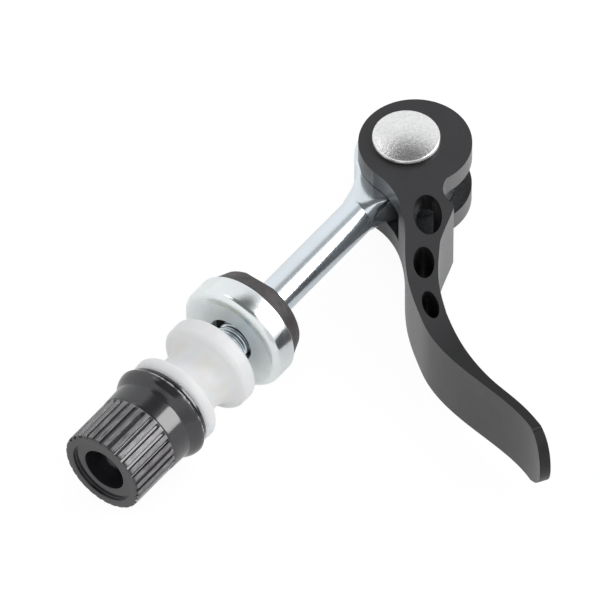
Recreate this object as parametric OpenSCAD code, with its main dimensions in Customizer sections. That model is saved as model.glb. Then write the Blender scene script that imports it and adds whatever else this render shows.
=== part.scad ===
// Seatpost quick release bolt, lying open on its side, in millimetres.
// The bolt's axis is X and points from the lever to the nut. The pivot's axis is Z.
// The origin is on the bolt's axis, in the plane of the cup washer's clamp face.

/* [Bolt] */
// Diameter of the round shank and of its thread
shank_d = 6; // [5:0.5:8]
// From the pivot to the cup washer's clamp face
clamp_reach = 45.7; // [42:0.1:49]
// From the pivot to the end of the thread
bolt_length = 72.5; // [70:0.5:74]
// Diameter of the forged eye
eye_d = 16.5; // [15:0.1:17.5]
// Thickness of the eye between the lever's ears
eye_thick = 6.1; // [5.6:0.1:7]
// Radius of the forged fillet between eye and shank
eye_fillet = 7; // [5:0.5:9]
// Bevel at the end of the thread
thread_bevel = 0.6; // [0.3:0.1:1]

/* [Pivot rivet] */
// Diameter of the rivet's shank
pivot_d = 6; // [5:0.5:7]
// Diameter of the rivet's domed head
rivet_head_d = 11.1; // [9.5:0.1:12]
// Height of the head's upright rim
rivet_rim_h = 0.9; // [0.6:0.1:1.5]
// Rise of the dome above its rim
rivet_dome_h = 0.8; // [0.4:0.1:1.2]
// Diameter of the riveted tail
rivet_tail_d = 8.6; // [7.6:0.1:10]
// Height of the riveted tail
rivet_tail_h = 1.1; // [0.8:0.1:1.4]

/* [Lever] */
// Height of the lever's head along the pivot
lever_h = 13.2; // [12:0.1:15]
// How much lower the blade lies than the head, on each face
blade_drop = 0.3; // [0.1:0.05:0.6]
// Diameter of the cam at the lever's head
cam_d = 18.06; // [17.5:0.02:19]
// Distance from the pivot to the middle of the cam
cam_throw = 1.5; // [1:0.02:1.7]
// Radius of the fork's slot about the pivot
slot_r = 15.6; // [15:0.1:16]
// How far the lever's tip reaches from the bolt's axis
lever_reach = 54; // [48:0.2:60]
// Thickness of the arm just past the slot
arm_thick = 5.5; // [5:0.1:6]
// Thickness of the arm where the blade begins
waist_thick = 4.1; // [3.8:0.1:5]
// Thickness of the thin part of the blade
blade_thick = 1.5; // [1.2:0.05:2.5]
// Thickness of the blade's very end
tip_thick = 1.8; // [1.5:0.05:2.6]
// Radius of the blade's rounded end
tip_r = 7; // [6.7:0.1:9]

/* [Cup washer and cam pad] */
// Diameter of the cup washer
cup_d = 18.75; // [18:0.05:20]
// Depth of the cup washer along the bolt
cup_depth = 4.3; // [4:0.1:5]
// Thickness of the cup washer's end wall
cup_wall = 1.6; // [1.2:0.1:2]
// Rounding of the cup washer's front edge
cup_round = 1.1; // [0.6:0.1:1.4]
// Hole through the cup washer
cup_hole_d = 7.9; // [7.8:0.1:8.4]
// Wider bore of the pad, which passes over the bolt's neck
pad_bore_d = 9.6; // [9.4:0.1:10.4]
// How far the loose washer rides above the bolt's axis as the set lies
cup_rise = 0.7; // [0:0.05:0.7]
// How far the pad's edge lies inside the washer's edge
pad_inset = 0.3; // [0.1:0.05:0.6]
// How far the pad narrows, radially, towards its cam end
pad_taper = 1.25; // [0.8:0.05:1.6]
// How far the pad stands out of the washer
pad_h = 3.3; // [2.8:0.1:3.6]
// Depth of the hollow that seats the cam
saddle_depth = 0.5; // [0.3:0.05:0.8]

/* [Spool] */
// Length of the spool
spool_length = 12.6; // [12:0.1:13]
// Diameter of the two flanges
spool_d = 15.9; // [15:0.1:17]
// Diameter of the waist
spool_waist_d = 10.7; // [10:0.1:12]
// Width of the flange next to the washer
front_flange_w = 3; // [2.5:0.1:3.4]
// Width of the flange next to the nut
rear_flange_w = 2.4; // [2:0.1:3]
// Free gap between clamp face and spool
clamp_gap = 3.5; // [3.2:0.1:6]
// Radial room of the spool on the shank
spool_play = 0.3; // [0.15:0.05:0.5]

/* [Grip nut] */
// Length of the nut
nut_length = 16.4; // [15.5:0.1:18]
// Diameter of the round flange
nut_flange_d = 16.7; // [16.2:0.1:18]
// Diameter of the ribbed grip
grip_d = 14.3; // [13.9:0.1:15]
// Length of the ribbed grip
grip_length = 9.2; // [8:0.1:10]
// Number of ribs
rib_count = 30; // [24:1:36]
// Depth of the grooves between the ribs
groove_depth = 0.5; // [0.3:0.05:0.7]
// Share of a rib's pitch that its groove takes
groove_share = 0.58; // [0.45:0.01:0.7]
// Diameter of the hole in the nut's end
end_hole_d = 7.4; // [6.9:0.1:8]
// Diameter of the shallow recess around that hole
recess_d = 11.1; // [10:0.1:12]
// Depth of the recess
recess_depth = 0.6; // [0.3:0.05:0.9]
// Length of the threaded bore
thread_length = 11.1; // [10:0.1:12]

/* [Hidden] */
$fn = 96;
// overshoot of a cutter past the face that it leaves
cut = 1;
// radial room of a shaft that turns in its hole
turn_room = 0.05;
// room on each side of the eye in the fork
side_room = 0.1;
// gap that keeps the spool's face off the nut's
face_room = 0.1;
// width of the pad's step that rests on the cup washer's edge
pad_seat = 1.2;
// plain round land between the nut's neck and the start of the grooves
grip_land = 0.15;

shank_r = shank_d / 2;
pivot_r = pivot_d / 2;
eye_r = eye_d / 2;
pivot_x = -clamp_reach;
lever_top = lever_h / 2;
slot_w = eye_thick + 2 * side_room;
spool_x = clamp_gap;
nut_x = spool_x + spool_length + face_room;

// The cam's middle, from the pivot, with the lever laid open as it rests
cam_angle = 107.7;
cam_centre = cam_throw * [cos(cam_angle), sin(cam_angle)];
cam_r = cam_d / 2;

// Knots of the lever's outer edge: place, heading, and reach of the curve before and after
neck_knot = [[8.52, -0.21], 87.7, 0, 5.11];
arm_knot = [[16.85, 12.44], 35.84, 6.2, 7.13];
waist_knot = [[28.22, 24.26], 55.16, 6.62, 11.29];
// The blade leans towards the nut by this share of its reach past the waist
blade_lean = 0.313;
tip_knot = [waist_knot[0] + (lever_reach - waist_knot[0][1]) * [blade_lean, 1], 48.94, 9.88, 0];
// Share of the blade's curve in which it thins to blade_thick, and where its end starts to thicken
thinning = 0.58;
flaring = 0.8;
// The heel behind the slot, and where the hollow above it meets the cam
heel = [6.88, 14.5];
hollow_end_angle = 70;
// Oval windows through the arm: middle, half length, half width, heading
windows = [
    [[10.45, 12.05], 4.1, 2.25, 41],
    [[18.65, 17.45], 3.2, 1.65, 39],
    [[24.85, 23.4], 2.8, 1.25, 50]
];
steps = 14;

function heading(a) = [cos(a), sin(a)];
function bezier(a, b, c, d, n) = [
    for (i = [0:n])
        let (t = i / n, s = 1 - t)
        s * s * s * a + 3 * s * s * t * b + 3 * s * t * t * c + t * t * t * d
];
function edge(from, to) = bezier(
    from[0], from[0] + from[3] * heading(from[1]),
    to[0] - to[2] * heading(to[1]), to[0], steps
);
function smooth(t) = let (u = max(0, min(1, t))) u * u * (3 - 2 * u);
function normal_at(path, i) =
    let (
        last = len(path) - 1,
        run = path[min(i + 1, last)] - path[max(i - 1, 0)]
    )
    [-run[1], run[0]] / norm(run);
// The inner edge lies one thickness to the left of the outer edge, from its end back to its start
function inner_edge(path, thick) = [
    for (i = [len(path) - 1:-1:0]) path[i] + thick[i] * normal_at(path, i)
];

neck_edge = edge(neck_knot, arm_knot);
arm_edge = edge(arm_knot, waist_knot);
blade_edge = edge(waist_knot, tip_knot);
arm_taper = [for (i = [0:steps]) arm_thick + (waist_thick - arm_thick) * i / steps];
blade_taper = [
    for (i = [0:steps])
        let (t = i / steps)
        waist_thick + (blade_thick - waist_thick) * smooth(t / thinning)
            + (tip_thick - blade_thick) * smooth((t - flaring) / (1 - flaring))
];
arm_inner = inner_edge(arm_edge, arm_taper);
hollow_end = cam_centre + cam_r * heading(hollow_end_angle);
heel_edge = bezier(
    arm_inner[steps], arm_inner[steps] + [-2.2, -0.95], heel + [2.2, 0.85], heel, steps
);
hollow_edge = bezier(heel, heel + [-1.3, -0.6], hollow_end + [4.2, 0.8], hollow_end, steps);
lever_outline = concat(
    neck_edge, arm_edge, blade_edge,
    inner_edge(blade_edge, blade_taper), arm_inner, heel_edge, hollow_edge
);

// Turns a profile drawn with the bolt's axis along X into a solid of revolution
module turned() {
    rotate([90, 0, 90]) rotate_extrude()
        rotate(90) mirror([0, 1]) children();
}

// Half section of a round rim from x = 0 to w, with rounded corners
module rim(w, r, corner) {
    square([w, r - corner]);
    translate([corner, 0]) square([w - 2 * corner, r]);
    for (x = [corner, w - corner])
        translate([x, r - corner]) circle(corner);
}

// The forged eye in plan, with fillets that run into the shank
module eye_plan() {
    half_w = eye_thick / 2;
    fillet_y = half_w + eye_fillet;
    fillet_x = sqrt(pow(eye_r + eye_fillet, 2) - fillet_y * fillet_y);
    circle(eye_r);
    difference() {
        polygon([[0, 0], [fillet_x, fillet_y], [fillet_x, -fillet_y]]);
        for (side = [-1, 1])
            translate([fillet_x, side * fillet_y]) circle(eye_fillet);
    }
    translate([0, -half_w]) square([fillet_x + half_w, eye_thick]);
}

module eye_bolt() {
    // a cone trims the neck's corners: closed_x is where the pad stands with the lever closed
    closed_x = cam_r + cam_throw - saddle_depth;
    neck_r = shank_r + 0.9;
    neck_end = closed_x + 3.2;
    flare_x = eye_r * 0.6;
    flare_r = eye_r + 1.2;
    color("lightgray") translate([pivot_x, 0, 0]) difference() {
        union() {
            intersection() {
                linear_extrude(eye_thick, center = true) eye_plan();
                turned() polygon([
                    [-flare_r, 0], [-flare_r, flare_r], [flare_x, flare_r],
                    [closed_x, neck_r], [neck_end, shank_r], [neck_end, 0]
                ]);
            }
            turned() polygon([
                [eye_r - 1, 0], [eye_r - 1, shank_r], [bolt_length - thread_bevel, shank_r],
                [bolt_length, shank_r - thread_bevel], [bolt_length, 0]
            ]);
        }
        cylinder(r = pivot_r + turn_room, h = eye_thick + 2 * cut, center = true);
    }
}

module oval(half_length, half_width) {
    polygon([for (a = [0:10:350]) [half_length * cos(a), half_width * sin(a)]]);
}

// Everything past the blade's rounded end, seen along the blade's flat
module tip_cutter() {
    heading_angle = tip_knot[1] + 10;
    middle = tip_knot[0] - tip_r * heading(heading_angle);
    reach = 3 * cut;
    translate(middle) rotate([90, 0, heading_angle])
        linear_extrude(8 * cut, center = true) difference() {
            translate([0, -lever_top - cut]) square([tip_r + reach, lever_h + 2 * cut]);
            circle(tip_r);
        }
}

// Lowers one face of the lever from its head towards the blade, and all of the blade
module drop_cutter() {
    head_y = 12;
    blade_y = 27;
    rotate([90, 0, 90]) linear_extrude(3 * lever_reach, center = true) polygon([
        [2 * head_y - blade_y, lever_top + blade_drop], [blade_y, lever_top - blade_drop],
        [lever_reach + tip_r, lever_top - blade_drop], [lever_reach + tip_r, lever_top + blade_drop]
    ]);
}

module lever() {
    color("dimgray") translate([pivot_x, 0, 0]) difference() {
        linear_extrude(lever_h, center = true) difference() {
            union() {
                translate(cam_centre) circle(cam_r);
                polygon(lever_outline);
            }
            for (w = windows)
                translate(w[0]) rotate(w[3]) oval(w[1], w[2]);
        }
        cylinder(r = slot_r, h = slot_w, center = true);
        cylinder(r = pivot_r, h = lever_h + 2 * cut, center = true);
        tip_cutter();
        for (face = [0, 1])
            mirror([0, 0, face]) drop_cutter();
    }
}

// A low dome of the given rim radius and rise, standing on y = 0
module dome_profile(r, rise) {
    dome_r = (r * r + rise * rise) / (2 * rise);
    intersection() {
        translate([0, rise - dome_r]) circle(dome_r);
        square([r, rise + cut]);
    }
}

module pivot_rivet() {
    head_r = rivet_head_d / 2;
    tail_r = rivet_tail_d / 2;
    rim_round = 0.3;
    color("lightgray") translate([pivot_x, 0, 0]) rotate_extrude() {
        translate([0, -lever_top]) square([pivot_r, lever_h]);
        translate([0, lever_top]) {
            square([head_r - rim_round, rivet_rim_h]);
            square([head_r, rivet_rim_h - rim_round]);
            translate([head_r - rim_round, rivet_rim_h - rim_round]) circle(rim_round);
            translate([0, rivet_rim_h]) dome_profile(head_r - rim_round, rivet_dome_h);
        }
        translate([0, -lever_top]) mirror([0, 1]) {
            square([tail_r, rivet_tail_h / 3]);
            translate([0, rivet_tail_h / 3]) dome_profile(tail_r, rivet_tail_h * 2 / 3);
        }
    }
}

module cup_washer() {
    cup_r = cup_d / 2;
    cavity_r = cup_r - pad_inset - pad_seat;
    color("silver") translate([0, 0, cup_rise]) turned() difference() {
        union() {
            translate([-cup_depth, 0]) square([cup_depth - cup_round, cup_r]);
            translate([-cup_depth, 0]) square([cup_depth, cup_r - cup_round]);
            translate([-cup_round, cup_r - cup_round]) circle(cup_round);
        }
        translate([-cup_depth - cut, 0]) square([cup_depth - cup_wall + cut, cavity_r]);
        translate([-cup_depth, 0]) square([cup_depth + cut, cup_hole_d / 2]);
    }
}

module cam_pad() {
    base_r = cup_d / 2 - pad_inset;
    nose_r = base_r - pad_taper;
    spigot_r = base_r - pad_seat;
    nose_x = -cup_depth - pad_h;
    nose_bevel = 0.3;
    color("black") translate([0, 0, cup_rise]) difference() {
        turned() polygon([
            [nose_x, pad_bore_d / 2], [nose_x, nose_r - nose_bevel], [nose_x + nose_bevel, nose_r],
            [-cup_depth, base_r], [-cup_depth, spigot_r], [-cup_wall, spigot_r],
            [-cup_wall, pad_bore_d / 2]
        ]);
        translate([nose_x + saddle_depth - cam_r, 0, 0])
            cylinder(r = cam_r, h = cup_d + 2 * cut, center = true);
    }
}

module spool() {
    flange_r = spool_d / 2;
    waist_r = spool_waist_d / 2;
    corner = 0.8;
    // the waist is one round hollow between the flanges' inner edges
    hollow_w = spool_length - front_flange_w - rear_flange_w;
    drop = flange_r - corner - waist_r;
    hollow_r = (hollow_w * hollow_w / 4 + drop * drop) / (2 * drop);
    color("whitesmoke") translate([spool_x, 0, 0]) turned() difference() {
        union() {
            rim(front_flange_w + corner / 2, flange_r, corner);
            translate([spool_length - rear_flange_w - corner / 2, 0])
                rim(rear_flange_w + corner / 2, flange_r, corner);
            difference() {
                square([spool_length, flange_r - corner]);
                translate([front_flange_w + hollow_w / 2, waist_r + hollow_r]) circle(hollow_r);
            }
        }
        translate([-cut, 0]) square([spool_length + 2 * cut, shank_r + spool_play]);
    }
}

// One groove of the grip, cut from outside
module groove() {
    grip_r = grip_d / 2;
    outer_w = groove_share * 2 * PI * grip_r / rib_count;
    rotate([90, 0, 90]) linear_extrude(grip_length - grip_land + cut) polygon([
        [-outer_w / 2, grip_r + cut / 4], [outer_w / 2, grip_r + cut / 4],
        [outer_w / 4, grip_r - groove_depth], [-outer_w / 4, grip_r - groove_depth]
    ]);
}

module grip_nut() {
    grip_r = grip_d / 2;
    flange_r = nut_flange_d / 2;
    bulge_r = 2.2;
    bulge_x = 1.6;
    neck_x = 3.3;
    grip_x = nut_length - grip_length;
    end_bevel = 0.4;
    color("black") translate([nut_x, 0, 0]) difference() {
        union() {
            turned() intersection() {
                translate([bulge_x, flange_r - bulge_r]) circle(bulge_r);
                square([grip_x, flange_r + cut]);
            }
            turned() polygon([
                [0, 0], [0, flange_r - bulge_r], [bulge_x, grip_r + 0.4], [neck_x, grip_r + 0.35],
                [neck_x + 1.4, grip_r + 0.1], [grip_x, grip_r], [nut_length - end_bevel, grip_r],
                [nut_length, grip_r - end_bevel], [nut_length, 0]
            ]);
        }
        turned() polygon([
            [-cut, 0], [-cut, shank_r + turn_room], [thread_length, shank_r + turn_room],
            [thread_length, end_hole_d / 2], [nut_length - recess_depth, end_hole_d / 2],
            [nut_length - recess_depth, recess_d / 2], [nut_length + cut, recess_d / 2],
            [nut_length + cut, 0]
        ]);
        for (i = [0:rib_count - 1])
            rotate([360 / rib_count * i, 0, 0]) translate([grip_x + grip_land, 0, 0]) groove();
    }
}

eye_bolt();
lever();
pivot_rivet();
cam_pad();
cup_washer();
spool();
grip_nut();
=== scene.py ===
"""Looks of the seatpost quick release bolt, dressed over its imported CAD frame.

Shapes are worked out in millimetres in the CAD frame: the bolt's axis is X, the pivot's
axis is Z, and the origin is on the bolt's axis in the cup washer's clamp face.
"""

import math

import bmesh
import bpy
from mathutils import Matrix, Vector, noise


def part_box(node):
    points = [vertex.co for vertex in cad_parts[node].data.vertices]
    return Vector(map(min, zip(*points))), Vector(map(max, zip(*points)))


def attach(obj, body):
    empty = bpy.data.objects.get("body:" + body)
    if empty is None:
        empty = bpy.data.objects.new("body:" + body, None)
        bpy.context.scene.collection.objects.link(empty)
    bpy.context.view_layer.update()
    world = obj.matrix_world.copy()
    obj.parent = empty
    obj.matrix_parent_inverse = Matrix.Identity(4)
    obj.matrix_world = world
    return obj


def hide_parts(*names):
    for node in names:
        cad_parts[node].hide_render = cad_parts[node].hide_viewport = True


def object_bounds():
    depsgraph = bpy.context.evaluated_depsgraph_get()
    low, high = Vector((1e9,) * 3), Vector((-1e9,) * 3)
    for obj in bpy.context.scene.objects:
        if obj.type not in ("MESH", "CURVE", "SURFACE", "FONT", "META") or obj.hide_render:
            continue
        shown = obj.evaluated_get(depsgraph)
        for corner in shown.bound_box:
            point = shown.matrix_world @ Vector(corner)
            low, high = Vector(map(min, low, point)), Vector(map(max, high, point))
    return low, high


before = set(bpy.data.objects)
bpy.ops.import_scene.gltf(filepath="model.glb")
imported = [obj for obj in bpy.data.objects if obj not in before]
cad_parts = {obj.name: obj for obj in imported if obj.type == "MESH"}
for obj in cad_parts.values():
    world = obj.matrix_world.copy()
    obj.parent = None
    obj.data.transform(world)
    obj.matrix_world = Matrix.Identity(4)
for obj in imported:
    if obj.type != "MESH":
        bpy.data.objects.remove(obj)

cad_box = [list(corner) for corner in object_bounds()]

MM = 0.001


def node_box(node):
    """Lowest and highest corner of a CAD node, in millimetres."""
    low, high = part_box(node)
    return low / MM, high / MM


# ---------------------------------------------------------------- sizes

RIVET_LOW, RIVET_HIGH = node_box("pivot_rivet")
LEVER_HIGH = node_box("lever")[1]
CUP_LOW, CUP_HIGH = node_box("cup_washer")
PAD_LOW = node_box("cam_pad")[0]
SPOOL_LOW, SPOOL_HIGH = node_box("spool")
NUT_LOW, NUT_HIGH = node_box("grip_nut")
BOLT_HIGH = node_box("eye_bolt")[1]

PIVOT_X = (RIVET_LOW.x + RIVET_HIGH.x) / 2
LEVER_TOP = LEVER_HIGH.z
CUP_RISE = (CUP_LOW.z + CUP_HIGH.z) / 2

# The nut's grip, wanted by its finish and its shape, and where it starts from the flange's end
RIB_COUNT = 30
GRIP_R = 7.15
GRIP_START = 7.3
# Where the flange's lip begins: distance from the axis, and where it ends along the nut
LIP_R, LIP_END = 7.95, 1.25

# ---------------------------------------------------------------- node helpers


class Tree:
    """A node tree with short calls for the nodes that lights and finishes share."""

    def __init__(self, owner):
        self.nodes = owner.node_tree.nodes
        self.links = owner.node_tree.links

    def feed(self, value, socket):
        """Links a socket to another, or sets it to a number, a vector or a colour."""
        if isinstance(value, bpy.types.NodeSocket):
            self.links.new(value, socket)
        else:
            socket.default_value = value

    def span(self, value, low, high, start=0.3, end=0.7, smooth=False):
        """Maps a value from start..end to low..high, and holds it there beyond."""
        node = self.nodes.new("ShaderNodeMapRange")
        if smooth:
            node.interpolation_type = "SMOOTHSTEP"
        for key, number in (
            ("From Min", start), ("From Max", end), ("To Min", low), ("To Max", high),
        ):
            node.inputs[key].default_value = number
        self.feed(value, node.inputs["Value"])
        return node.outputs["Result"]

    def math(self, operation, a, b):
        """One step of arithmetic on two sockets or numbers."""
        node = self.nodes.new("ShaderNodeMath")
        node.operation = operation
        self.feed(a, node.inputs[0])
        self.feed(b, node.inputs[1])
        return node.outputs[0]


class Shader(Tree):
    """A material with short calls for the nodes that the finishes use."""

    def __init__(self, name):
        self.material = bpy.data.materials.new(name)
        self.material.use_nodes = True
        super().__init__(self.material)
        self.surface = self.nodes["Principled BSDF"]
        self.place = self.nodes.new("ShaderNodeTexCoord").outputs["Object"]

    def set(self, **values):
        """Sets Principled sockets, with underscores for the spaces in their names."""
        for key, value in values.items():
            self.feed(value, self.surface.inputs[key.replace("_", " ")])

    def stretched(self, scale):
        """The object's coordinates, scaled by one factor per axis."""
        node = self.nodes.new("ShaderNodeMapping")
        node.inputs["Scale"].default_value = scale
        self.links.new(self.place, node.inputs["Vector"])
        return node.outputs["Vector"]

    def noise(self, size_mm, detail=3, roughness=0.55, vector=None):
        """Noise with blotches of about the given size."""
        node = self.nodes.new("ShaderNodeTexNoise")
        node.inputs["Scale"].default_value = 1 / (size_mm * MM)
        node.inputs["Detail"].default_value = detail
        node.inputs["Roughness"].default_value = roughness
        self.links.new(vector or self.place, node.inputs["Vector"])
        return node.outputs["Fac"]

    def mix(self, factor, a, b):
        """Blends two colours, each a socket or a colour."""
        node = self.nodes.new("ShaderNodeMix")
        node.data_type = "RGBA"
        self.feed(factor, node.inputs[0])
        for index, value in ((6, a), (7, b)):
            is_socket = isinstance(value, bpy.types.NodeSocket)
            self.feed(value if is_socket else (*value, 1), node.inputs[index])
        return node.outputs[2]

    def along(self, axis, start_mm, end_mm):
        """Rises from 0 to 1 between two places along an axis."""
        node = self.nodes.new("ShaderNodeSeparateXYZ")
        self.links.new(self.place, node.inputs[0])
        return self.span(node.outputs[axis], 0, 1, start_mm * MM, end_mm * MM)

    def both(self, *values):
        """The product of 0 to 1 masks: full only where all of them are."""
        product = values[0]
        for value in values[1:]:
            product = self.math("MULTIPLY", product, value)
        return product

    def other(self, value):
        """The rest of a 0 to 1 mask."""
        return self.math("SUBTRACT", 1, value)

    def bolt_radius(self):
        """Distance from the bolt's axis, in metres."""
        node = self.nodes.new("ShaderNodeVectorMath")
        node.operation = "LENGTH"
        self.links.new(self.stretched((0, 1, 1)), node.inputs[0])
        return node.outputs["Value"]

    def bump(self, height, distance_mm, strength=1.0, under=None):
        """A bump normal from a height, on top of another bump if one is given."""
        node = self.nodes.new("ShaderNodeBump")
        node.inputs["Distance"].default_value = distance_mm * MM
        node.inputs["Strength"].default_value = strength
        self.links.new(height, node.inputs["Height"])
        if under:
            self.links.new(under, node.inputs["Normal"])
        return node.outputs["Normal"]


# ---------------------------------------------------------------- finishes


def bolt_zinc():
    """Blue-white zinc plate, with painted shade and a painted reflection beside the eye in the
    fork, where the lever shades the neck and its dark underside is mirrored.
    """
    s = Shader("bolt_zinc")
    wander = s.noise(6, detail=2)
    grain = s.noise(0.35, detail=4)
    patch = s.noise(1.5, detail=4, roughness=0.65)
    plate = s.mix(s.span(wander, 0, 1, 0.35, 0.65), (0.8, 0.87, 0.92), (0.78, 0.84, 0.88))
    # Painted shade: beside the eye, under the lever, the zinc is darkened and roughened in
    # patches, for the lever's shade and its dark underside mirrored there.
    near = s.both(
        s.along("X", PIVOT_X + 1, PIVOT_X + 4),
        s.other(s.along("X", PIVOT_X + 6.5, PIVOT_X + 10)),
        s.along("Y", -1, 2.5),
    )
    painted_shade = s.both(near, s.span(patch, 0.7, 1, 0.4, 0.6))
    s.set(
        Metallic=1.0,
        Base_Color=s.mix(painted_shade, plate, (0.2, 0.225, 0.25)),
        Roughness=s.math("ADD", s.span(grain, 0.14, 0.22), s.both(painted_shade, 0.1)),
        Normal=s.bump(grain, 0.012, 0.5),
    )
    return s.material


def washer_zinc():
    """Bright zinc plate on the washer, satin on its flat end, with a fine uneven sheen."""
    s = Shader("washer_zinc")
    wander = s.noise(6, detail=2)
    grain = s.noise(0.35, detail=4)
    mottle = s.noise(1.4, detail=4, roughness=0.65)
    satin = s.other(s.span(s.bolt_radius(), 0, 1, 7.6 * MM, 8.3 * MM))
    plate = s.mix(s.span(wander, 0, 1, 0.35, 0.65), (0.88, 0.93, 0.92), (0.84, 0.86, 0.88))
    s.set(
        Metallic=1.0,
        Base_Color=plate,
        Roughness=s.math("ADD", s.span(mottle, 0.12, 0.22, 0.35, 0.65), s.both(satin, 0.34)),
        Normal=s.bump(grain, 0.012, 0.5),
    )
    return s.material


def lever_face():
    """Satin black of the lever's top and bottom, duller past the arm's waist."""
    s = Shader("lever_black")
    grain = s.noise(0.16, detail=4, roughness=0.6)
    cloud = s.noise(5, detail=3)
    speck = s.span(s.noise(0.3, detail=2), 0, 1, 0.7, 0.74)
    past_waist = s.along("Y", 24, 32)
    base = s.mix(s.span(cloud, 0, 1), (0.0155, 0.015, 0.0175), (0.0215, 0.021, 0.0235))
    base = s.mix(past_waist, base, (0.009, 0.009, 0.01))
    s.set(
        Base_Color=s.mix(speck, base, (0.06, 0.06, 0.062)),
        Roughness=s.span(grain, 0.34, 0.46),
        Specular_IOR_Level=s.span(past_waist, 0.55, 0.38, 0, 1),
        Normal=s.bump(grain, 0.012, 0.6),
    )
    return s.material


def lever_side():
    """The extruded sides, with faint die lines and rubbed grain, brightest along the arm."""
    s = Shader("lever_side")
    lines = s.noise(0.3, detail=4, roughness=0.6, vector=s.stretched((1, 1, 0.06)))
    grain = s.noise(0.22, detail=4, roughness=0.7)
    cloud = s.noise(4, detail=3)
    base = s.mix(s.span(cloud, 0, 1), (0.026, 0.0255, 0.0275), (0.036, 0.035, 0.038))
    on_arm = s.both(s.along("Y", 4, 8), s.other(s.along("Y", 22, 27)))
    s.set(
        Base_Color=s.mix(s.span(grain, 0, 0.5, 0.5, 0.75), base, (0.075, 0.073, 0.078)),
        Roughness=s.span(grain, 0.26, 0.4),
        Specular_IOR_Level=s.span(on_arm, 0.42, 0.58, 0, 1),
        IOR=s.span(on_arm, 1.72, 2.3, 0, 1),
        Normal=s.bump(grain, 0.012, 0.5, under=s.bump(lines, 0.01, 0.5)),
    )
    return s.material


def lever_core():
    """The dull black inside of the fork's slot and the windows."""
    s = Shader("lever_core")
    scale = s.noise(0.7, detail=5, roughness=0.7)
    rough = s.span(scale, 0, 1, 0.4, 0.65)
    s.set(
        Base_Color=s.mix(rough, (0.012, 0.012, 0.013), (0.03, 0.03, 0.032)),
        Roughness=s.span(scale, 0.5, 0.3),
        Specular_IOR_Level=0.25,
        Normal=s.bump(scale, 0.08, 0.9),
    )
    return s.material


def lever_edge_wear_and_glint():
    """The narrow edges, where the finish is rubbed thin and chipped to bare metal; their lighter
    colour and bright chips are also painted highlights along the edges.
    """
    s = Shader("lever_edge_wear_and_glint")
    # Bright chips of bare metal, partly real wear and partly painted highlights on the edges.
    glint_chips = s.span(s.noise(0.9, detail=5, roughness=0.7), 0, 1, 0.5, 0.58)
    s.set(
        Base_Color=s.mix(glint_chips, (0.06, 0.06, 0.063), (0.55, 0.55, 0.56)),
        Metallic=s.span(glint_chips, 0, 0.85, 0, 1),
        Roughness=0.28,
        Specular_IOR_Level=0.9,
    )
    return s.material


def nut_black():
    """Gloss black of the nut, rubbed to a brownish grey on the ribs, with a painted reflection as
    bright chips on the lip.
    """
    s = Shader("nut_black")
    grain = s.noise(0.2, detail=4)
    cloud = s.noise(3, detail=3)
    streak = s.noise(0.5, detail=5, roughness=0.7, vector=s.stretched((0.25, 1, 1)))
    radius = s.bolt_radius()
    grip_x, lip_x = NUT_LOW.x + GRIP_START, NUT_LOW.x + LIP_END
    on_ribs = s.both(
        s.span(radius, 0, 1, (GRIP_R - 0.14) * MM, (GRIP_R - 0.02) * MM),
        s.along("X", grip_x - 0.1, grip_x + 0.1),
    )
    rubbed = s.both(on_ribs, s.span(streak, 0.1, 1, 0.36, 0.6))
    lip = s.both(
        s.span(radius, 0, 1, LIP_R * MM, (LIP_R + 0.15) * MM),
        s.other(s.along("X", lip_x, lip_x + 0.2)),
    )
    # Painted reflection: bright grey chips on the lip stand for the lamp's broken reflection
    # there.
    glint_chips = s.both(lip, s.span(s.noise(1.1, detail=4, roughness=0.65), 0, 1, 0.5, 0.54))
    paint = s.mix(s.span(cloud, 0, 1), (0.016, 0.0155, 0.018), (0.025, 0.0245, 0.028))
    worn = s.mix(rubbed, s.mix(on_ribs, paint, (0.055, 0.051, 0.056)), (0.24, 0.226, 0.24))
    s.set(
        Base_Color=s.mix(glint_chips, worn, (0.34, 0.33, 0.35)),
        Roughness=s.math("ADD", s.span(grain, 0.09, 0.14), s.both(on_ribs, 0.3)),
        Specular_IOR_Level=0.85,
        Normal=s.bump(grain, 0.004, 0.4, under=s.bump(s.both(on_ribs, streak), 0.05, 0.8)),
    )
    return s.material


def pad_plastic():
    """Dull brown-black moulded pad."""
    s = Shader("pad_plastic")
    grain = s.noise(0.25, detail=5, roughness=0.65)
    cloud = s.noise(1.6, detail=4)
    s.set(
        Base_Color=s.mix(s.span(cloud, 0, 1), (0.03, 0.026, 0.0265), (0.072, 0.062, 0.064)),
        Roughness=s.span(grain, 0.42, 0.62),
        Normal=s.bump(grain, 0.03, 0.8),
    )
    return s.material


def nylon():
    """Milky natural nylon: it lets light through, and warms a little towards the waist."""
    s = Shader("spool_nylon")
    grain = s.noise(0.3, detail=3)
    cloud = s.noise(3.2, detail=3)
    milk = s.mix(s.span(cloud, 0, 1, 0.38, 0.62), (0.95, 0.945, 0.93), (0.91, 0.915, 0.925))
    waist = s.span(s.bolt_radius(), 1, 0, 5.2 * MM, 7.2 * MM)
    warm = s.both(waist, s.span(s.noise(4.5, detail=2), 0, 0.7, 0.4, 0.6))
    s.set(
        Base_Color=s.mix(warm, milk, (0.9, 0.84, 0.77)),
        Roughness=s.span(grain, 0.4, 0.52),
        Specular_IOR_Level=0.35,
        Subsurface_Weight=1.0,
        Subsurface_Radius=(1.0, 0.92, 0.8),
        Subsurface_Scale=3.4 * MM,
        Normal=s.bump(cloud, 0.03, 0.4, under=s.bump(grain, 0.008, 0.4)),
    )
    return s.material


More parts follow.
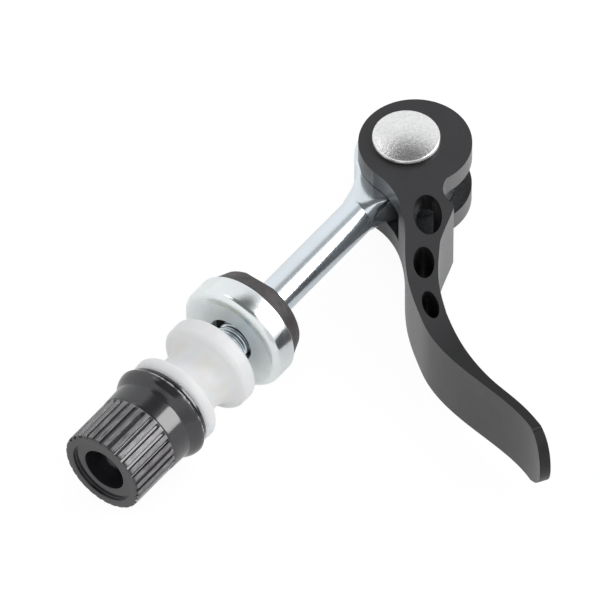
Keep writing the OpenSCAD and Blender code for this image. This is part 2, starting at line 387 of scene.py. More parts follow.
def rivet_plate():
    """Plated rivet head: warm and pale, with a dark grainy mottle."""
    s = Shader("rivet_zinc")
    grain = s.noise(0.22, detail=3, roughness=0.8)
    blotch = s.noise(0.55, detail=4, roughness=0.7)
    cloud = s.noise(2.2, detail=2)
    pale = s.mix(s.span(cloud, 0, 1), (0.93, 0.925, 0.9), (0.86, 0.86, 0.86))
    dark = s.mix(s.span(grain, 0, 1, 0.42, 0.6), (0.44, 0.45, 0.48), (0.8, 0.8, 0.8))
    s.set(
        Metallic=1.0,
        Base_Color=s.mix(s.span(blotch, 0, 0.3, 0.44, 0.62), pale, dark),
        Roughness=s.span(grain, 0.12, 0.24),
        Normal=s.bump(blotch, 0.05, 0.8, under=s.bump(grain, 0.025, 0.8)),
    )
    return s.material


FINISHES = {
    "bolt_zinc": bolt_zinc(),
    "washer_zinc": washer_zinc(),
    "rivet_zinc": rivet_plate(),
    "lever_black": lever_face(),
    "lever_side": lever_side(),
    "lever_core": lever_core(),
    "lever_edge_wear_and_glint": lever_edge_wear_and_glint(),
    "pad_plastic": pad_plastic(),
    "spool_nylon": nylon(),
    "nut_black": nut_black(),
}

# ---------------------------------------------------------------- mesh helpers


def mesh_of(name, verts, faces):
    """A mesh in metres from millimetre vertices."""
    mesh = bpy.data.meshes.new(name)
    mesh.from_pydata([Vector(v) * MM for v in verts], [], faces)
    return mesh


def add_piece(name, verts, faces, body, nodes, slot, sharp=40):
    """Makes a piece from millimetre vertices, in place of the given CAD nodes."""
    dress(name, mesh_of(name, verts, faces), body, nodes, slot, sharp)


def dress(name, mesh, body, nodes, slot, sharp=40, finishes=()):
    """Shades a mesh, gives it its finish and hangs it on its body.

    finishes names further materials, for the faces that already point at slots 1 and on.
    """
    chosen = [face.material_index for face in mesh.polygons]
    face_outwards(mesh)
    mesh.shade_smooth()
    mesh.set_sharp_from_angle(angle=math.radians(sharp))
    mesh.materials.clear()
    for finish in (slot, *finishes):
        mesh.materials.append(FINISHES[finish])
    if finishes:
        mesh.polygons.foreach_set("material_index", chosen)
    piece = bpy.data.objects.new(name, mesh)
    bpy.context.scene.collection.objects.link(piece)
    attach(piece, body)
    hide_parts(*nodes)


def smoothstep(t):
    """Eases from 0 to 1, and stays there outside of 0..1."""
    t = max(0.0, min(1.0, t))
    return t * t * (3 - 2 * t)


def rounded(corners, steps=6):
    """The outline through (x, r, fillet) corners, each rounded by its fillet."""
    out = []
    count = len(corners)
    for i, (x, r, fillet) in enumerate(corners):
        here = Vector((x, r))
        if not fillet:
            out.append(here)
            continue
        back = Vector(corners[i - 1][:2]) - here
        ahead = Vector(corners[(i + 1) % count][:2]) - here
        half = back.angle(ahead) / 2
        reach = min(fillet / math.tan(half), 0.49 * min(back.length, ahead.length))
        radius = reach * math.tan(half)
        back.normalize()
        ahead.normalize()
        centre = here + (back + ahead).normalized() * radius / math.sin(half)
        start, end = here + back * reach - centre, here + ahead * reach - centre
        sweep = start.angle(end)
        for k in range(steps + 1):
            t = k / steps
            share = math.sin((1 - t) * sweep), math.sin(t * sweep)
            out.append(centre + (start * share[0] + end * share[1]) / math.sin(sweep))
    return out


def dense(points, longest, closed=True):
    """The same outline with no step longer than the given length."""
    out = []
    pairs = list(zip(points, points[1:] + points[:1] if closed else points[1:]))
    for a, b in pairs:
        count = max(1, math.ceil((b - a).length / longest))
        out += [a.lerp(b, k / count) for k in range(count)]
    if not closed:
        out.append(points[-1])
    return out


def turned(points, segments, centre=(0, 0, 0), closed=True, warp=None):
    """Vertices and faces of an (x, r) outline turned about the bolt's axis.

    warp(x, r, angle) may move a point and returns its new x and r.
    """
    verts, rings = [], []
    for x, r in points:
        if r < 1e-6:
            rings.append([len(verts)])
            verts.append((x + centre[0], centre[1], centre[2]))
            continue
        rings.append(range(len(verts), len(verts) + segments))
        for k in range(segments):
            angle = math.tau * k / segments
            px, pr = warp(x, r, angle) if warp else (x, r)
            verts.append((
                px + centre[0],
                pr * math.cos(angle) + centre[1],
                pr * math.sin(angle) + centre[2],
            ))
    faces = []
    ring_pairs = list(zip(rings, rings[1:]))
    if closed:
        ring_pairs.append((rings[-1], rings[0]))
    for a, b in ring_pairs:
        for k in range(segments):
            n = (k + 1) % segments
            if len(a) == 1:
                faces.append((a[0], b[k], b[n]))
            elif len(b) == 1:
                faces.append((a[k], b[0], a[n]))
            else:
                faces.append((a[k], b[k], b[n], a[n]))
    return verts, faces


def applied(obj):
    """The mesh of an object with its modifiers applied. The object is removed."""
    graph = bpy.context.evaluated_depsgraph_get()
    mesh = bpy.data.meshes.new_from_object(obj.evaluated_get(graph))
    bpy.data.objects.remove(obj)
    return mesh


def loose(name, mesh):
    """A working object that isn't part of the model yet."""
    obj = bpy.data.objects.new(name, mesh)
    bpy.context.scene.collection.objects.link(obj)
    return obj


def prism(outline, low, high):
    """A closed millimetre prism of an (x, y) outline, as a mesh in metres."""
    count = len(outline)
    verts = [(x, y, z) for z in (low, high) for x, y in outline]
    faces = [tuple(reversed(range(count))), tuple(range(count, 2 * count))]
    for k in range(count):
        n = (k + 1) % count
        faces.append((k, n, count + n, count + k))
    return mesh_of("prism", verts, faces)


def face_outwards(mesh):
    """Turns the faces of a closed mesh outwards."""
    bm = bmesh.new()
    bm.from_mesh(mesh)
    bmesh.ops.recalc_face_normals(bm, faces=bm.faces)
    bm.to_mesh(mesh)
    bm.free()


def cut_by(obj, cutters, operation="DIFFERENCE"):
    """Takes each cutter mesh out of the object, or keeps only what lies in it."""
    for mesh in cutters:
        face_outwards(mesh)
        tool = loose("cutter", mesh)
        modifier = obj.modifiers.new("cut", "BOOLEAN")
        modifier.operation = operation
        modifier.solver = "EXACT"
        modifier.object = tool
        obj = loose(obj.name, applied(obj))
        bpy.data.objects.remove(tool)
    return obj


def ring(x, y, radius, count=128):
    """A circle as an outline."""
    return [
        (x + radius * math.cos(math.tau * k / count), y + radius * math.sin(math.tau * k / count))
        for k in range(count)
    ]


# ---------------------------------------------------------------- bolt


SHANK_R = 3.0
THREAD_PITCH = 1.0
THREAD_DEPTH = 0.55
THREAD_START = -6.5
# Half the crest and one flank, as shares of a turn
CREST_HALF, FLANK = 0.07, 0.36
THREAD_RUNOUT = 1.5
END_CHAMFER = 0.6
# The forged end reaches into the turned shank, from the pivot
NECK_IN, NECK_OUT = PIVOT_X + 9.0, PIVOT_X + 14.5
# The forged end is thinned by this much where the shank takes over, and hidden in it
NECK_SINK = 0.06
VOXEL = 0.13


def thread_warp(x, r, angle):
    """Cuts the rolled thread into the shank."""
    if r < SHANK_R - 0.01 or x < THREAD_START:
        return x, r
    phase = (x / THREAD_PITCH - angle / math.tau) % 1
    groove = smoothstep((abs(phase - 0.5) - CREST_HALF) / FLANK)
    run_in = smoothstep((x - THREAD_START) / THREAD_RUNOUT)
    run_out = smoothstep((BOLT_HIGH.x - x) / 0.8 + 0.2)
    return x, r - THREAD_DEPTH * groove * run_in * run_out


def build_bolt():
    """The eye and neck come from the CAD solid, softened as a forging. The shank is turned."""
    forged = loose("forged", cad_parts["eye_bolt"].data.copy())
    bm = bmesh.new()
    bm.from_mesh(forged.data)
    bmesh.ops.remove_doubles(bm, verts=bm.verts, dist=1e-6)
    cut = bmesh.ops.bisect_plane(
        bm, geom=bm.verts[:] + bm.edges[:] + bm.faces[:],
        plane_co=Vector((NECK_OUT, 0, 0)) * MM, plane_no=(1, 0, 0), clear_outer=True,
    )
    rim = [part for part in cut["geom_cut"] if isinstance(part, bmesh.types.BMEdge)]
    bmesh.ops.holes_fill(bm, edges=rim)
    bm.to_mesh(forged.data)
    bm.free()
    remesh = forged.modifiers.new("remesh", "REMESH")
    remesh.mode = "VOXEL"
    remesh.voxel_size = VOXEL * MM
    soften = forged.modifiers.new("soften", "SMOOTH")
    soften.factor, soften.iterations = 0.5, 7
    eye = loose("eye", applied(forged))
    neck = eye.vertex_groups.new(name="neck")
    for v in eye.data.vertices:
        neck.add([v.index], smoothstep((v.co.x / MM - PIVOT_X - 5.5) / 2.5), "REPLACE")
    blend = eye.modifiers.new("blend", "SMOOTH")
    blend.factor, blend.iterations, blend.vertex_group = 0.5, 130, "neck"
    eye = applied(eye)
    for v in eye.vertices:
        sink = NECK_SINK * MM * smoothstep((v.co.x / MM - NECK_OUT + 2.2) / 1.2)
        radius = math.hypot(v.co.y, v.co.z)
        if sink and radius > 1e-5:
            v.co.y -= v.co.y / radius * sink
            v.co.z -= v.co.z / radius * sink
    start, end = Vector((NECK_IN, SHANK_R)), Vector((BOLT_HIGH.x - END_CHAMFER, SHANK_R))
    thread_start = Vector((THREAD_START, SHANK_R))
    plain = dense([start, thread_start], 2, closed=False)
    threaded = dense([thread_start, end], 0.08, closed=False)
    tip = [Vector((BOLT_HIGH.x, SHANK_R - END_CHAMFER)), Vector((BOLT_HIGH.x, 0))]
    outline = [Vector((NECK_IN, 0)), *plain, *threaded[1:], *tip]
    verts, faces = turned(outline, 64, closed=False, warp=thread_warp)
    shank = mesh_of("shank", verts, faces)
    bm = bmesh.new()
    bm.from_mesh(eye)
    bm.from_mesh(shank)
    whole = bpy.data.meshes.new("bolt")
    bm.to_mesh(whole)
    bm.free()
    dress("bolt_forging", whole, "bolt", ["eye_bolt"], "bolt_zinc", 50)


# ---------------------------------------------------------------- lever

# Knots of the outer edge: place from the pivot, heading, and the curve's reach before and after
NECK_KNOT = ((8.52, -0.21), 87.7, 0, 5.11)
ARM_KNOT = ((16.85, 12.44), 35.84, 6.2, 7.13)
WAIST_KNOT = ((28.22, 24.26), 55.16, 6.62, 11.29)
TIP_KNOT = ((37.53, 54.0), 48.94, 9.88, 0)
ARM_THICK, WAIST_THICK, BLADE_THICK, TIP_THICK = 5.5, 4.1, 1.5, 1.8
# The blade is thinnest from one share of its length, and thickens again from the other
THINNING, FLARING = 0.58, 0.8
# Both faces drop by this much between the two distances from the bolt's axis
BLADE_DROP, DROP_START, DROP_END = 0.3, 12, 27
# The heel beside the fork, and the handles of the curves that run from the arm to the cam
HEEL = Vector((6.88, 14.5))
ARM_TO_HEEL = Vector((-2.2, -0.95)), Vector((2.2, 0.85))
HEEL_TO_CAM = Vector((-1.3, -0.6)), Vector((4.2, 0.8))
# Angle round the cam's centre where the hollow meets the cam
HOLLOW_END = 70
CAM_R, CAM_THROW, CAM_ANGLE = 9.03, 1.5, 107.7
# The fork's slot is deep within SLOT_DEEP_HALF degrees of one heading, then shortens
SLOT_R, SLOT_SHORT_R, SLOT_W = 15.6, 12.8, 6.3
SLOT_DEEP_ANGLE, SLOT_DEEP_HALF, SLOT_FADE = 80, 14, 8
RIVET_R = 3.0
# The blade's end: its rounding, the way that it faces, and the stretch that its finish takes
TIP_R, TIP_HEADING, TIP_LENGTH = 7, TIP_KNOT[1] + 10, 5
TIP_CUT_DEPTH, TIP_CUT_HALF = 3, 4
BEVEL = 0.16
# Middle, half length, half width and heading of each oval window
WINDOWS = (
    ((10.45, 12.05), 4.1, 2.25, 41),
    ((18.65, 17.45), 3.2, 1.65, 39),
    ((24.85, 23.4), 2.8, 1.25, 50),
)
CURVE_STEPS = 36


def heading(degrees):
    """Unit vector in plan."""
    return Vector((math.cos(math.radians(degrees)), math.sin(math.radians(degrees))))


def bezier(a, b, c, d):
    """Points along a cubic curve, with both of its ends."""
    out = []
    for i in range(CURVE_STEPS + 1):
        t = i / CURVE_STEPS
        s = 1 - t
        out.append(s**3 * a + 3 * s * s * t * b + 3 * s * t * t * c + t**3 * d)
    return out


def edge_between(knot_a, knot_b):
    """The curve from one knot of the outer edge to the next."""
    a, b = Vector(knot_a[0]), Vector(knot_b[0])
    return bezier(a, a + knot_a[3] * heading(knot_a[1]), b - knot_b[2] * heading(knot_b[1]), b)


def inner_edge(path, thick):
    """The edge one thickness to the left of a path, from its end back to its start."""
    out = []
    last = len(path) - 1
    for i in range(last, -1, -1):
        run = path[min(i + 1, last)] - path[max(i - 1, 0)]
        out.append(path[i] + thick[i] * Vector((-run.y, run.x)).normalized())
    return out


def lever_outline():
    """The lever in plan from the pivot, once round."""
    neck = edge_between(NECK_KNOT, ARM_KNOT)
    arm = edge_between(ARM_KNOT, WAIST_KNOT)
    blade = edge_between(WAIST_KNOT, TIP_KNOT)
    share = [i / CURVE_STEPS for i in range(CURVE_STEPS + 1)]
    arm_taper = [ARM_THICK + (WAIST_THICK - ARM_THICK) * t for t in share]
    blade_taper = [
        WAIST_THICK + (BLADE_THICK - WAIST_THICK) * smoothstep(t / THINNING)
        + (TIP_THICK - BLADE_THICK) * smoothstep((t - FLARING) / (1 - FLARING))
        for t in share
    ]
    arm_inner = inner_edge(arm, arm_taper)
    cam_centre = CAM_THROW * heading(CAM_ANGLE)
    hollow_end = cam_centre + CAM_R * heading(HOLLOW_END)
    arm_end = arm_inner[-1]
    heel = bezier(arm_end, arm_end + ARM_TO_HEEL[0], HEEL + ARM_TO_HEEL[1], HEEL)
    hollow = bezier(HEEL, HEEL + HEEL_TO_CAM[0], hollow_end + HEEL_TO_CAM[1], hollow_end)
    start = Vector(NECK_KNOT[0]) - cam_centre
    first = math.degrees(math.atan2(start.y, start.x)) + 360
    head = [
        cam_centre + CAM_R * heading(HOLLOW_END + (first - HOLLOW_END) * k / 120)
        for k in range(1, 120)
    ]
    whole = neck + arm[1:] + blade[1:] + inner_edge(blade, blade_taper) + arm_inner[1:]
    whole += heel[1:] + hollow[1:] + head
    kept = []
    for p in whole:
        if not kept or (p - kept[-1]).length > 0.02:
            kept.append(p)
    return [(p.x + PIVOT_X, p.y) for p in kept]


def oval(middle, half_length, half_width, angle, count=72):
    """A window's outline."""
    along, across = heading(angle), heading(angle + 90)
    out = []
    for k in range(count):
        a = math.tau * k / count
        p = Vector(middle) + along * half_length * math.cos(a) + across * half_width * math.sin(a)
        out.append((p.x + PIVOT_X, p.y))
    return out


def tip_cutter():
    """A block with a round hollow that leaves the blade's end rounded."""
    middle = Vector(TIP_KNOT[0]) - TIP_R * heading(TIP_HEADING)
    back = TIP_R + TIP_CUT_DEPTH
    tall = LEVER_TOP + 1
    arc = [
        (TIP_R * math.cos(a), TIP_R * math.sin(a))
        for a in (math.pi / 2 - math.pi * k / 48 for k in range(49))
    ]
    hollow = [(0, TIP_R), *arc[1:-1], (0, -TIP_R)]
    block = [(0, -tall), (back, -tall), (back, tall), (0, tall)]
    mesh = prism(hollow + block, -TIP_CUT_HALF, TIP_CUT_HALF)
    turn = Matrix.Rotation(math.radians(TIP_HEADING), 4, "Z")
    turn = turn @ Matrix.Rotation(math.pi / 2, 4, "X")
    mesh.transform(Matrix.Translation(Vector((middle.x + PIVOT_X, middle.y, 0)) * MM) @ turn)
    return mesh


def lever_height():
    """The lever's side view as a block along X: both faces drop between head and blade."""
    wide, near, far = 80, 2 * DROP_START - DROP_END, LEVER_HIGH.y + 5
    head, blade = LEVER_TOP + BLADE_DROP, LEVER_TOP - BLADE_DROP
    above = [(-20, head), (near, head), (DROP_END, blade), (far, blade)]
    mesh = prism(above + [(y, -z) for y, z in reversed(above)], -wide, wide)
    mesh.transform(Matrix(((0, 0, 1, 0), (1, 0, 0, 0), (0, 1, 0, 0), (0, 0, 0, 1))))
    return mesh


def slot_outline(count=180):
    """The fork's slot about the pivot, deep at the heel and short at the arm's outer edge."""
    out = []
    for k in range(count):
        angle = 360 * k / count
        off = abs((angle - SLOT_DEEP_ANGLE + 180) % 360 - 180)
        short = smoothstep((off - SLOT_DEEP_HALF) / SLOT_FADE)
        reach = SLOT_R - (SLOT_R - SLOT_SHORT_R) * short
        out.append((PIVOT_X + reach * heading(angle).x, reach * heading(angle).y))
    return out


def in_window(x, y):
    """Whether a place from the pivot lies in one of the windows or on its wall."""
    for middle, half_length, half_width, angle in WINDOWS:
        away = Vector((x, y)) - Vector(middle)
        along, across = away.dot(heading(angle)), away.dot(heading(angle + 90))
        if math.hypot(along / half_length, across / half_width) < 1.03:
            return True
    return False


def lever_part(face):
    """The finish of a face of the lever, as its place in LEVER_FINISHES."""
    top, side, inside = 0, 1, 2
    x, y, z = face.center / MM
    x -= PIVOT_X
    away = math.hypot(x, y)
    in_slot = abs(z) < SLOT_W / 2 + 0.01 and away < SLOT_R + 0.02
    if abs(face.normal.z) > 0.9:
        return inside if in_slot else top
    if in_window(x, y) or away < RIVET_R + 0.02:
        return inside
    outwards = Vector(face.normal.xy)
    towards_pivot = outwards.dot(Vector((x, y)).normalized()) < -0.9
    if in_slot and away > SLOT_SHORT_R - 0.1 and towards_pivot:
        return inside
    on_end = y > TIP_KNOT[0][1] - TIP_LENGTH and outwards.dot(heading(TIP_HEADING)) > 0.5
    return top if on_end else side


LEVER_FINISHES = "lever_black", "lever_side", "lever_core", "lever_edge_wear_and_glint"


def build_lever():
    """The arm with its fork, windows and rounded tip, and bevels on all its edges, rubbed and
    with painted highlights.
    """
    through = LEVER_TOP + 1
    body = loose("lever_body", prism(lever_outline(), -LEVER_TOP, LEVER_TOP))
    cutters = [prism(slot_outline(), -SLOT_W / 2, SLOT_W / 2)]
    cutters += [prism(oval(*window), -through, through) for window in WINDOWS]
    cutters += [prism(ring(PIVOT_X, 0, RIVET_R), -through, through), tip_cutter()]
    body = cut_by(cut_by(body, cutters), [lever_height()], "INTERSECT")
    for _ in LEVER_FINISHES:
        body.data.materials.append(None)
    for face in body.data.polygons:
        face.material_index = lever_part(face)
    bevel = body.modifiers.new("bevel", "BEVEL")
    bevel.material = LEVER_FINISHES.index("lever_edge_wear_and_glint")
    bevel.limit_method = "ANGLE"
    bevel.angle_limit = math.radians(32)
    bevel.width = BEVEL * MM
    bevel.segments = 2
    slot, *finishes = LEVER_FINISHES
    dress("lever_arm", applied(body), "lever", ["lever"], slot, 30, finishes)


# ---------------------------------------------------------------- rivet


def build_rivet():
    """A shallow dome on a soft rim, the shank, and the riveted tail below."""
    head_r, rim, tail_r, tail_flat = 5.54, 0.9, 4.3, 1.6
    rise = RIVET_HIGH.z - LEVER_TOP - rim
    dome_r = (head_r**2 + rise**2) / (2 * rise)
    dome = []
    for k in range(25):
        r = (head_r - 0.35) * k / 24
        dome.append((RIVET_HIGH.z - dome_r + math.sqrt(dome_r**2 - r * r), r, 0))
    corners = dome[:-1] + [
        (dome[-1][0], head_r - 0.2, 0.4), (LEVER_TOP + rim / 2, head_r, 0.25),
        (LEVER_TOP, head_r - 0.3, 0.15), (LEVER_TOP, RIVET_R, 0),
        (-LEVER_TOP, RIVET_R, 0), (-LEVER_TOP, tail_r, 0.1),
        (-LEVER_TOP - 0.37, tail_r, 0.3), (RIVET_LOW.z, tail_flat, 1.5), (RIVET_LOW.z, 0, 0),
    ]
    verts, faces = turned(rounded(corners), 128, closed=False)
    upright = [(PIVOT_X + z, y, x) for x, y, z in verts]
    add_piece("rivet", upright, faces, "lever", ["pivot_rivet"], "rivet_zinc", 50)


# ---------------------------------------------------------------- washer and pad


# The cup's floor along the bolt, the radius of its loose hole, and its inside
CUP_FLOOR, CUP_HOLE_R, CUP_INSIDE_R = -1.6, 3.95, 7.9
# The pad's nose and rim, its bore, the spigot in the cup, and the depth of the cam's saddle
PAD_NOSE_R, PAD_RIM_X, PAD_RIM_R = 7.85, -4.3, 9.1
PAD_BORE_R, PAD_SPIGOT_R, SADDLE_DEPTH = 4.8, 7.85, 0.5


def build_washer():
    """The cup, with a rounded front edge. Its loose hole lets it sit off the bolt's axis."""
    rear, front = CUP_LOW.x, CUP_HIGH.x
    outer = (CUP_HIGH.z - CUP_LOW.z) / 2
    corners = [
        (front, CUP_HOLE_R, 0.2), (front, outer, 1.1), (rear, outer, 0.25),
        (rear, CUP_INSIDE_R, 0.15), (CUP_FLOOR, CUP_INSIDE_R, 0.2), (CUP_FLOOR, CUP_HOLE_R, 0.15),
    ]
    verts, faces = turned(rounded(corners, 8), 160, centre=(0, 0, CUP_RISE))
    add_piece("cup", verts, faces, "washer", ["cup_washer"], "washer_zinc")


def pad_warp(x, r, angle):
    """Roughens the moulded pad a little."""
    p = Vector((x, math.cos(angle) * 5, math.sin(angle) * 5))
    return x, r + 0.05 * noise.noise(p * 1.3) * (1 if r > 6 else 0)


def build_pad():
    """The cone with the cam's saddle across its nose, and the spigot in the cup."""
    nose, spigot_end = PAD_LOW.x, CUP_FLOOR - 0.02
    corners = [
        (nose, PAD_BORE_R, 0.2), (nose, PAD_NOSE_R, 0.35), (PAD_RIM_X, PAD_RIM_R, 0.15),
        (PAD_RIM_X, PAD_SPIGOT_R, 0), (spigot_end, PAD_SPIGOT_R, 0), (spigot_end, PAD_BORE_R, 0),
    ]
    outline = dense(rounded(corners), 0.3)
    verts, faces = turned(outline, 160, centre=(0, 0, CUP_RISE), warp=pad_warp)
    saddle_x, beyond = nose + SADDLE_DEPTH - CAM_R, 11
    saddle = prism(ring(saddle_x, 0, CAM_R, 180), CUP_RISE - beyond, CUP_RISE + beyond)
    body = cut_by(loose("pad_body", mesh_of("pad", verts, faces)), [saddle])
    dress("pad", applied(body), "washer", ["cam_pad"], "pad_plastic", 40)


# ---------------------------------------------------------------- spool


def build_spool():
    """Two flanges with a hollow waist between them."""
    rear, front = SPOOL_LOW.x, SPOOL_HIGH.x
    flange = (SPOOL_HIGH.z - SPOOL_LOW.z) / 2
    bore, waist = 3.3, 5.35
    front_w, rear_w, lip = 3.0, 2.4, 0.9
    x0, x1 = rear + front_w, front - rear_w
    hollow = []
    for k in range(41):
        t = k / 40
        dip = 1 - (2 * t - 1) ** 2
        hollow.append((x0 + (x1 - x0) * t, flange - lip - (flange - lip - waist) * dip**0.8, 0))
    corners = [(rear, bore, 0.3), (rear, flange, 0.9), (x0 + 0.1, flange, 0.9)]
    corners += hollow[1:-1] + [(x1 - 0.1, flange - 0.05, 0.8), (front, flange - 0.3, 0.8)]
    corners.append((front, bore, 0.3))
    verts, faces = turned(rounded(corners), 128)
    add_piece("spool_body", verts, faces, "spool", ["spool"], "spool_nylon", 60)


# ---------------------------------------------------------------- nut

# A groove's depth, and its share of one rib's pitch
GROOVE_DEPTH, GROOVE_SHARE = 0.5, 0.52
NUT_BORE_R, NUT_BORE_END, NUT_HOLE_R = 3.05, 11.1, 3.7
# The shallow recess in the end
RECESS_R, RECESS_DEPTH = 5.55, 0.6


def nut_warp(x, r, angle):
    """Cuts the grip's grooves, each of them a little uneven."""
    along = x - NUT_LOW.x
    if along < GRIP_START - 0.5 or r < GRIP_R - GROOVE_DEPTH - 0.1:
        return x, r
    turn = angle / math.tau * RIB_COUNT
    rib = math.floor(turn)
    phase = abs(turn - rib - 0.5)
    depth = smoothstep((GROOVE_SHARE / 2 - phase) / (GROOVE_SHARE / 4))
    depth *= smoothstep((along - GRIP_START) / 0.25)
    worn = 0.8 + 0.5 * noise.noise(Vector((rib * 1.7, 0, 3.1)))
    return x, min(r, GRIP_R + 0.02 - GROOVE_DEPTH * depth * min(1, worn)) if depth > 0 else r


def build_nut():
    """Flange, smooth neck and ribbed grip in one, with a recessed end and a stepped hole."""
    rear, front = NUT_LOW.x, NUT_HIGH.x
    flange = (NUT_HIGH.z - NUT_LOW.z) / 2
    bulge = [
        (rear + 0.75, 7.55, 0), (rear + 0.85, 7.9, 0.3), (rear + 1.0, 8.2, 0.25),
        (rear + 1.3, flange, 0.25), (rear + 1.9, flange - 0.1, 0.6),
        (rear + 2.5, flange - 0.36, 1),
        (rear + 3.1, flange - 0.74, 0.8), (rear + 3.6, GRIP_R + 0.18, 0.4),
    ]
    grip, floor_x, bore_end = rear + GRIP_START, front - RECESS_DEPTH, rear + NUT_BORE_END
    corners = [
        (rear, NUT_BORE_R, 0.2), (rear, 7.73, 0.12), (rear + 0.5, 7.75, 0.12),
        (rear + 0.6, 7.5, 0.05), *bulge, (grip - 0.3, GRIP_R + 0.08, 0.1),
        (grip - 0.1, GRIP_R, 0.1), (front, GRIP_R, 0.4), (front, RECESS_R, 0.12),
        (floor_x, RECESS_R, 0.1), (floor_x, NUT_HOLE_R, 0.15), (bore_end, NUT_HOLE_R, 0.1),
        (bore_end, NUT_BORE_R, 0.1),
    ]
    outline = dense(rounded(corners, 5), 0.3)
    verts, faces = turned(outline, 20 * RIB_COUNT, warp=nut_warp)
    add_piece("nut", verts, faces, "nut", ["grip_nut"], "nut_black", 45)


build_bolt()
build_lever()
build_rivet()
build_washer()
build_pad()
build_spool()
build_nut()

# ---------------------------------------------------------------- floor, light and camera

FLOOR_HALF = 2000
# How plain the paper is to the camera, and how much more so in a mirror image
PAPER_PLAIN, PAPER_IN_MIRRORS, PAPER_GLOW = 0.88, 0.3, 1.06


def floor_paper():
    """White paper: lit by the lamps, but nearly plain to the camera, so its shadows are faint."""
    material = bpy.data.materials.new("floor_paper")
    material.use_nodes = True
    tree = Tree(material)
    tree.nodes.clear()
    out = tree.nodes.new("ShaderNodeOutputMaterial")
    lit = tree.nodes.new("ShaderNodeBsdfDiffuse")
    lit.inputs["Color"].default_value = (0.95, 0.95, 0.95, 1)
    plain = tree.nodes.new("ShaderNodeEmission")
    plain.inputs["Strength"].default_value = PAPER_GLOW
    ray = tree.nodes.new("ShaderNodeLightPath")
    mix = tree.nodes.new("ShaderNodeMixShader")
    share = tree.math(
        "ADD",
        tree.math("MULTIPLY", ray.outputs["Is Camera Ray"], PAPER_PLAIN),
        tree.math("MULTIPLY", ray.outputs["Is Glossy Ray"], PAPER_IN_MIRRORS),
    )
    for value, socket in zip((share, lit.outputs[0], plain.outputs[0]), mix.inputs):
        tree.feed(value, socket)
    tree.feed(mix.outputs[0], out.inputs["Surface"])
    return material


def build_floor():
    """The sheet of paper, at the height of the part's lowest point."""
    square = [(-1, -1), (1, -1), (1, 1), (-1, 1)]
    floor_z = cad_box[0][2] / MM
    mesh = mesh_of("floor", [(x * FLOOR_HALF, y * FLOOR_HALF, floor_z) for x, y in square],
                   [(0, 1, 2, 3)])
    mesh.materials.append(floor_paper())
    loose("floor", mesh)


build_floor()


def direction(azimuth, elevation):
    """Unit vector at an azimuth from +X and an elevation, in degrees."""
    a, e = math.radians(azimuth), math.radians(elevation)
    return Vector((math.cos(e) * math.cos(a), math.cos(e) * math.sin(a), math.sin(e)))


# The tent is bright round the sides and darker overhead, as the metal's reflections show
TENT_GLOSS, TOP_GLOSS, TENT_LIGHT = 0.92, 0.16, 0.68
TOP_START, TOP_END = 53, 63
# A grey stand beside the softbox, in mirror images only: its azimuth, edges and brightness
STAND_AZIMUTH, STAND_START, STAND_END, STAND_GREY = 75, 0.8, 0.9, 0.75


def build_world():
    """White to the camera. The metal mirrors the tent, and its soft light falls on everything."""
    world = bpy.data.worlds.new("tent")
    bpy.context.scene.world = world
    world.use_nodes = True
    tree = Tree(world)
    background = tree.nodes["Background"]
    towards = tree.nodes.new("ShaderNodeTexCoord").outputs["Generated"]
    split = tree.nodes.new("ShaderNodeSeparateXYZ")
    tree.feed(towards, split.inputs[0])
    edge = [math.sin(math.radians(height)) for height in (TOP_START, TOP_END)]
    overhead = tree.span(split.outputs["Z"], TENT_GLOSS, TOP_GLOSS, *edge, smooth=True)
    stand = tree.nodes.new("ShaderNodeVectorMath")
    stand.operation = "DOT_PRODUCT"
    stand.inputs[1].default_value = direction(STAND_AZIMUTH, 0)
    tree.feed(towards, stand.inputs[0])
    shade = tree.span(stand.outputs["Value"], 1, STAND_GREY, STAND_START, STAND_END)
    ray = tree.nodes.new("ShaderNodeLightPath")
    for_gloss = tree.nodes.new("ShaderNodeMix")
    for_gloss.inputs["A"].default_value = TENT_LIGHT
    tree.feed(ray.outputs["Is Glossy Ray"], for_gloss.inputs["Factor"])
    tree.feed(tree.math("MULTIPLY", overhead, shade), for_gloss.inputs["B"])
    strength = tree.math("MAXIMUM", for_gloss.outputs["Result"], ray.outputs["Is Camera Ray"])
    background.inputs["Color"].default_value = (0.98, 0.99, 1.0, 1)
    tree.feed(strength, background.inputs["Strength"])


build_world()


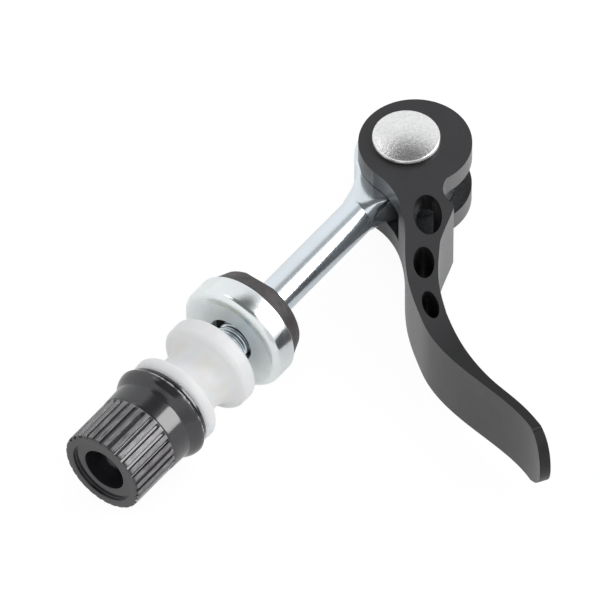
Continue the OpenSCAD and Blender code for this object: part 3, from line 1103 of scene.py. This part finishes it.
def softbox(name, azimuth, elevation, width_deg, height_deg, radiance, distance=0.9):
    """An area lamp of the given radiance that fills the given angles."""
    lamp = bpy.data.lights.new(name, "AREA")
    lamp.shape = "RECTANGLE"
    lamp.size = 2 * distance * math.tan(math.radians(width_deg / 2))
    lamp.size_y = 2 * distance * math.tan(math.radians(height_deg / 2))
    lamp.energy = radiance * math.pi * lamp.size * lamp.size_y
    obj = bpy.data.objects.new(name, lamp)
    bpy.context.scene.collection.objects.link(obj)
    towards = direction(azimuth, elevation)
    obj.location = towards * distance
    obj.rotation_euler = towards.to_track_quat("Z", "Y").to_euler()
    obj.visible_camera = False
    return obj


# One softbox, told apart for its mirror image in the metal and for the soft light it gives
softbox("key_mirror", 132, 32, 34, 40, 5.5).visible_diffuse = False
softbox("key_fill", 132, 32, 34, 40, 3.4).visible_glossy = False
# A smaller one, high up and to the side, mirrored in the nut's flange and low in the rivet
softbox("top_mirror", -92, 59, 20, 16, 1.1).visible_diffuse = False

# The camera as fitted to the photograph's outlines, with its focal length in pixels
VIEW_AZIMUTH, VIEW_ELEVATION, VIEW_ROLL = 37.691, 49.791, -0.479
CAMERA_DISTANCE = 1501.5
SHIFT_RIGHT, SHIFT_UP = 16.835, 21.087
FOCAL_PIXELS, PHOTO_PIXELS = 9465.75, 600


def build_camera():
    """Looks at the part from the photograph's angle, with a long lens."""
    back = direction(VIEW_AZIMUTH, VIEW_ELEVATION)
    right = (-back).cross(Vector((0, 0, 1))).normalized()
    up = back.cross(right)
    roll = math.radians(VIEW_ROLL)
    right, up = (
        math.cos(roll) * right + math.sin(roll) * up,
        -math.sin(roll) * right + math.cos(roll) * up,
    )
    data = bpy.data.cameras.new("camera")
    data.sensor_width = 36
    data.lens = FOCAL_PIXELS / PHOTO_PIXELS * data.sensor_width
    data.clip_start, data.clip_end = 0.05, 20
    camera = bpy.data.objects.new("camera", data)
    bpy.context.scene.collection.objects.link(camera)
    place = back * CAMERA_DISTANCE - right * SHIFT_RIGHT - up * SHIFT_UP
    place.x += PIVOT_X
    matrix = Matrix((right, up, back)).transposed().to_4x4()
    matrix.translation = place * MM
    camera.matrix_world = matrix
    bpy.context.scene.camera = camera


build_camera()

bpy.context.scene.view_settings.view_transform = "Standard"
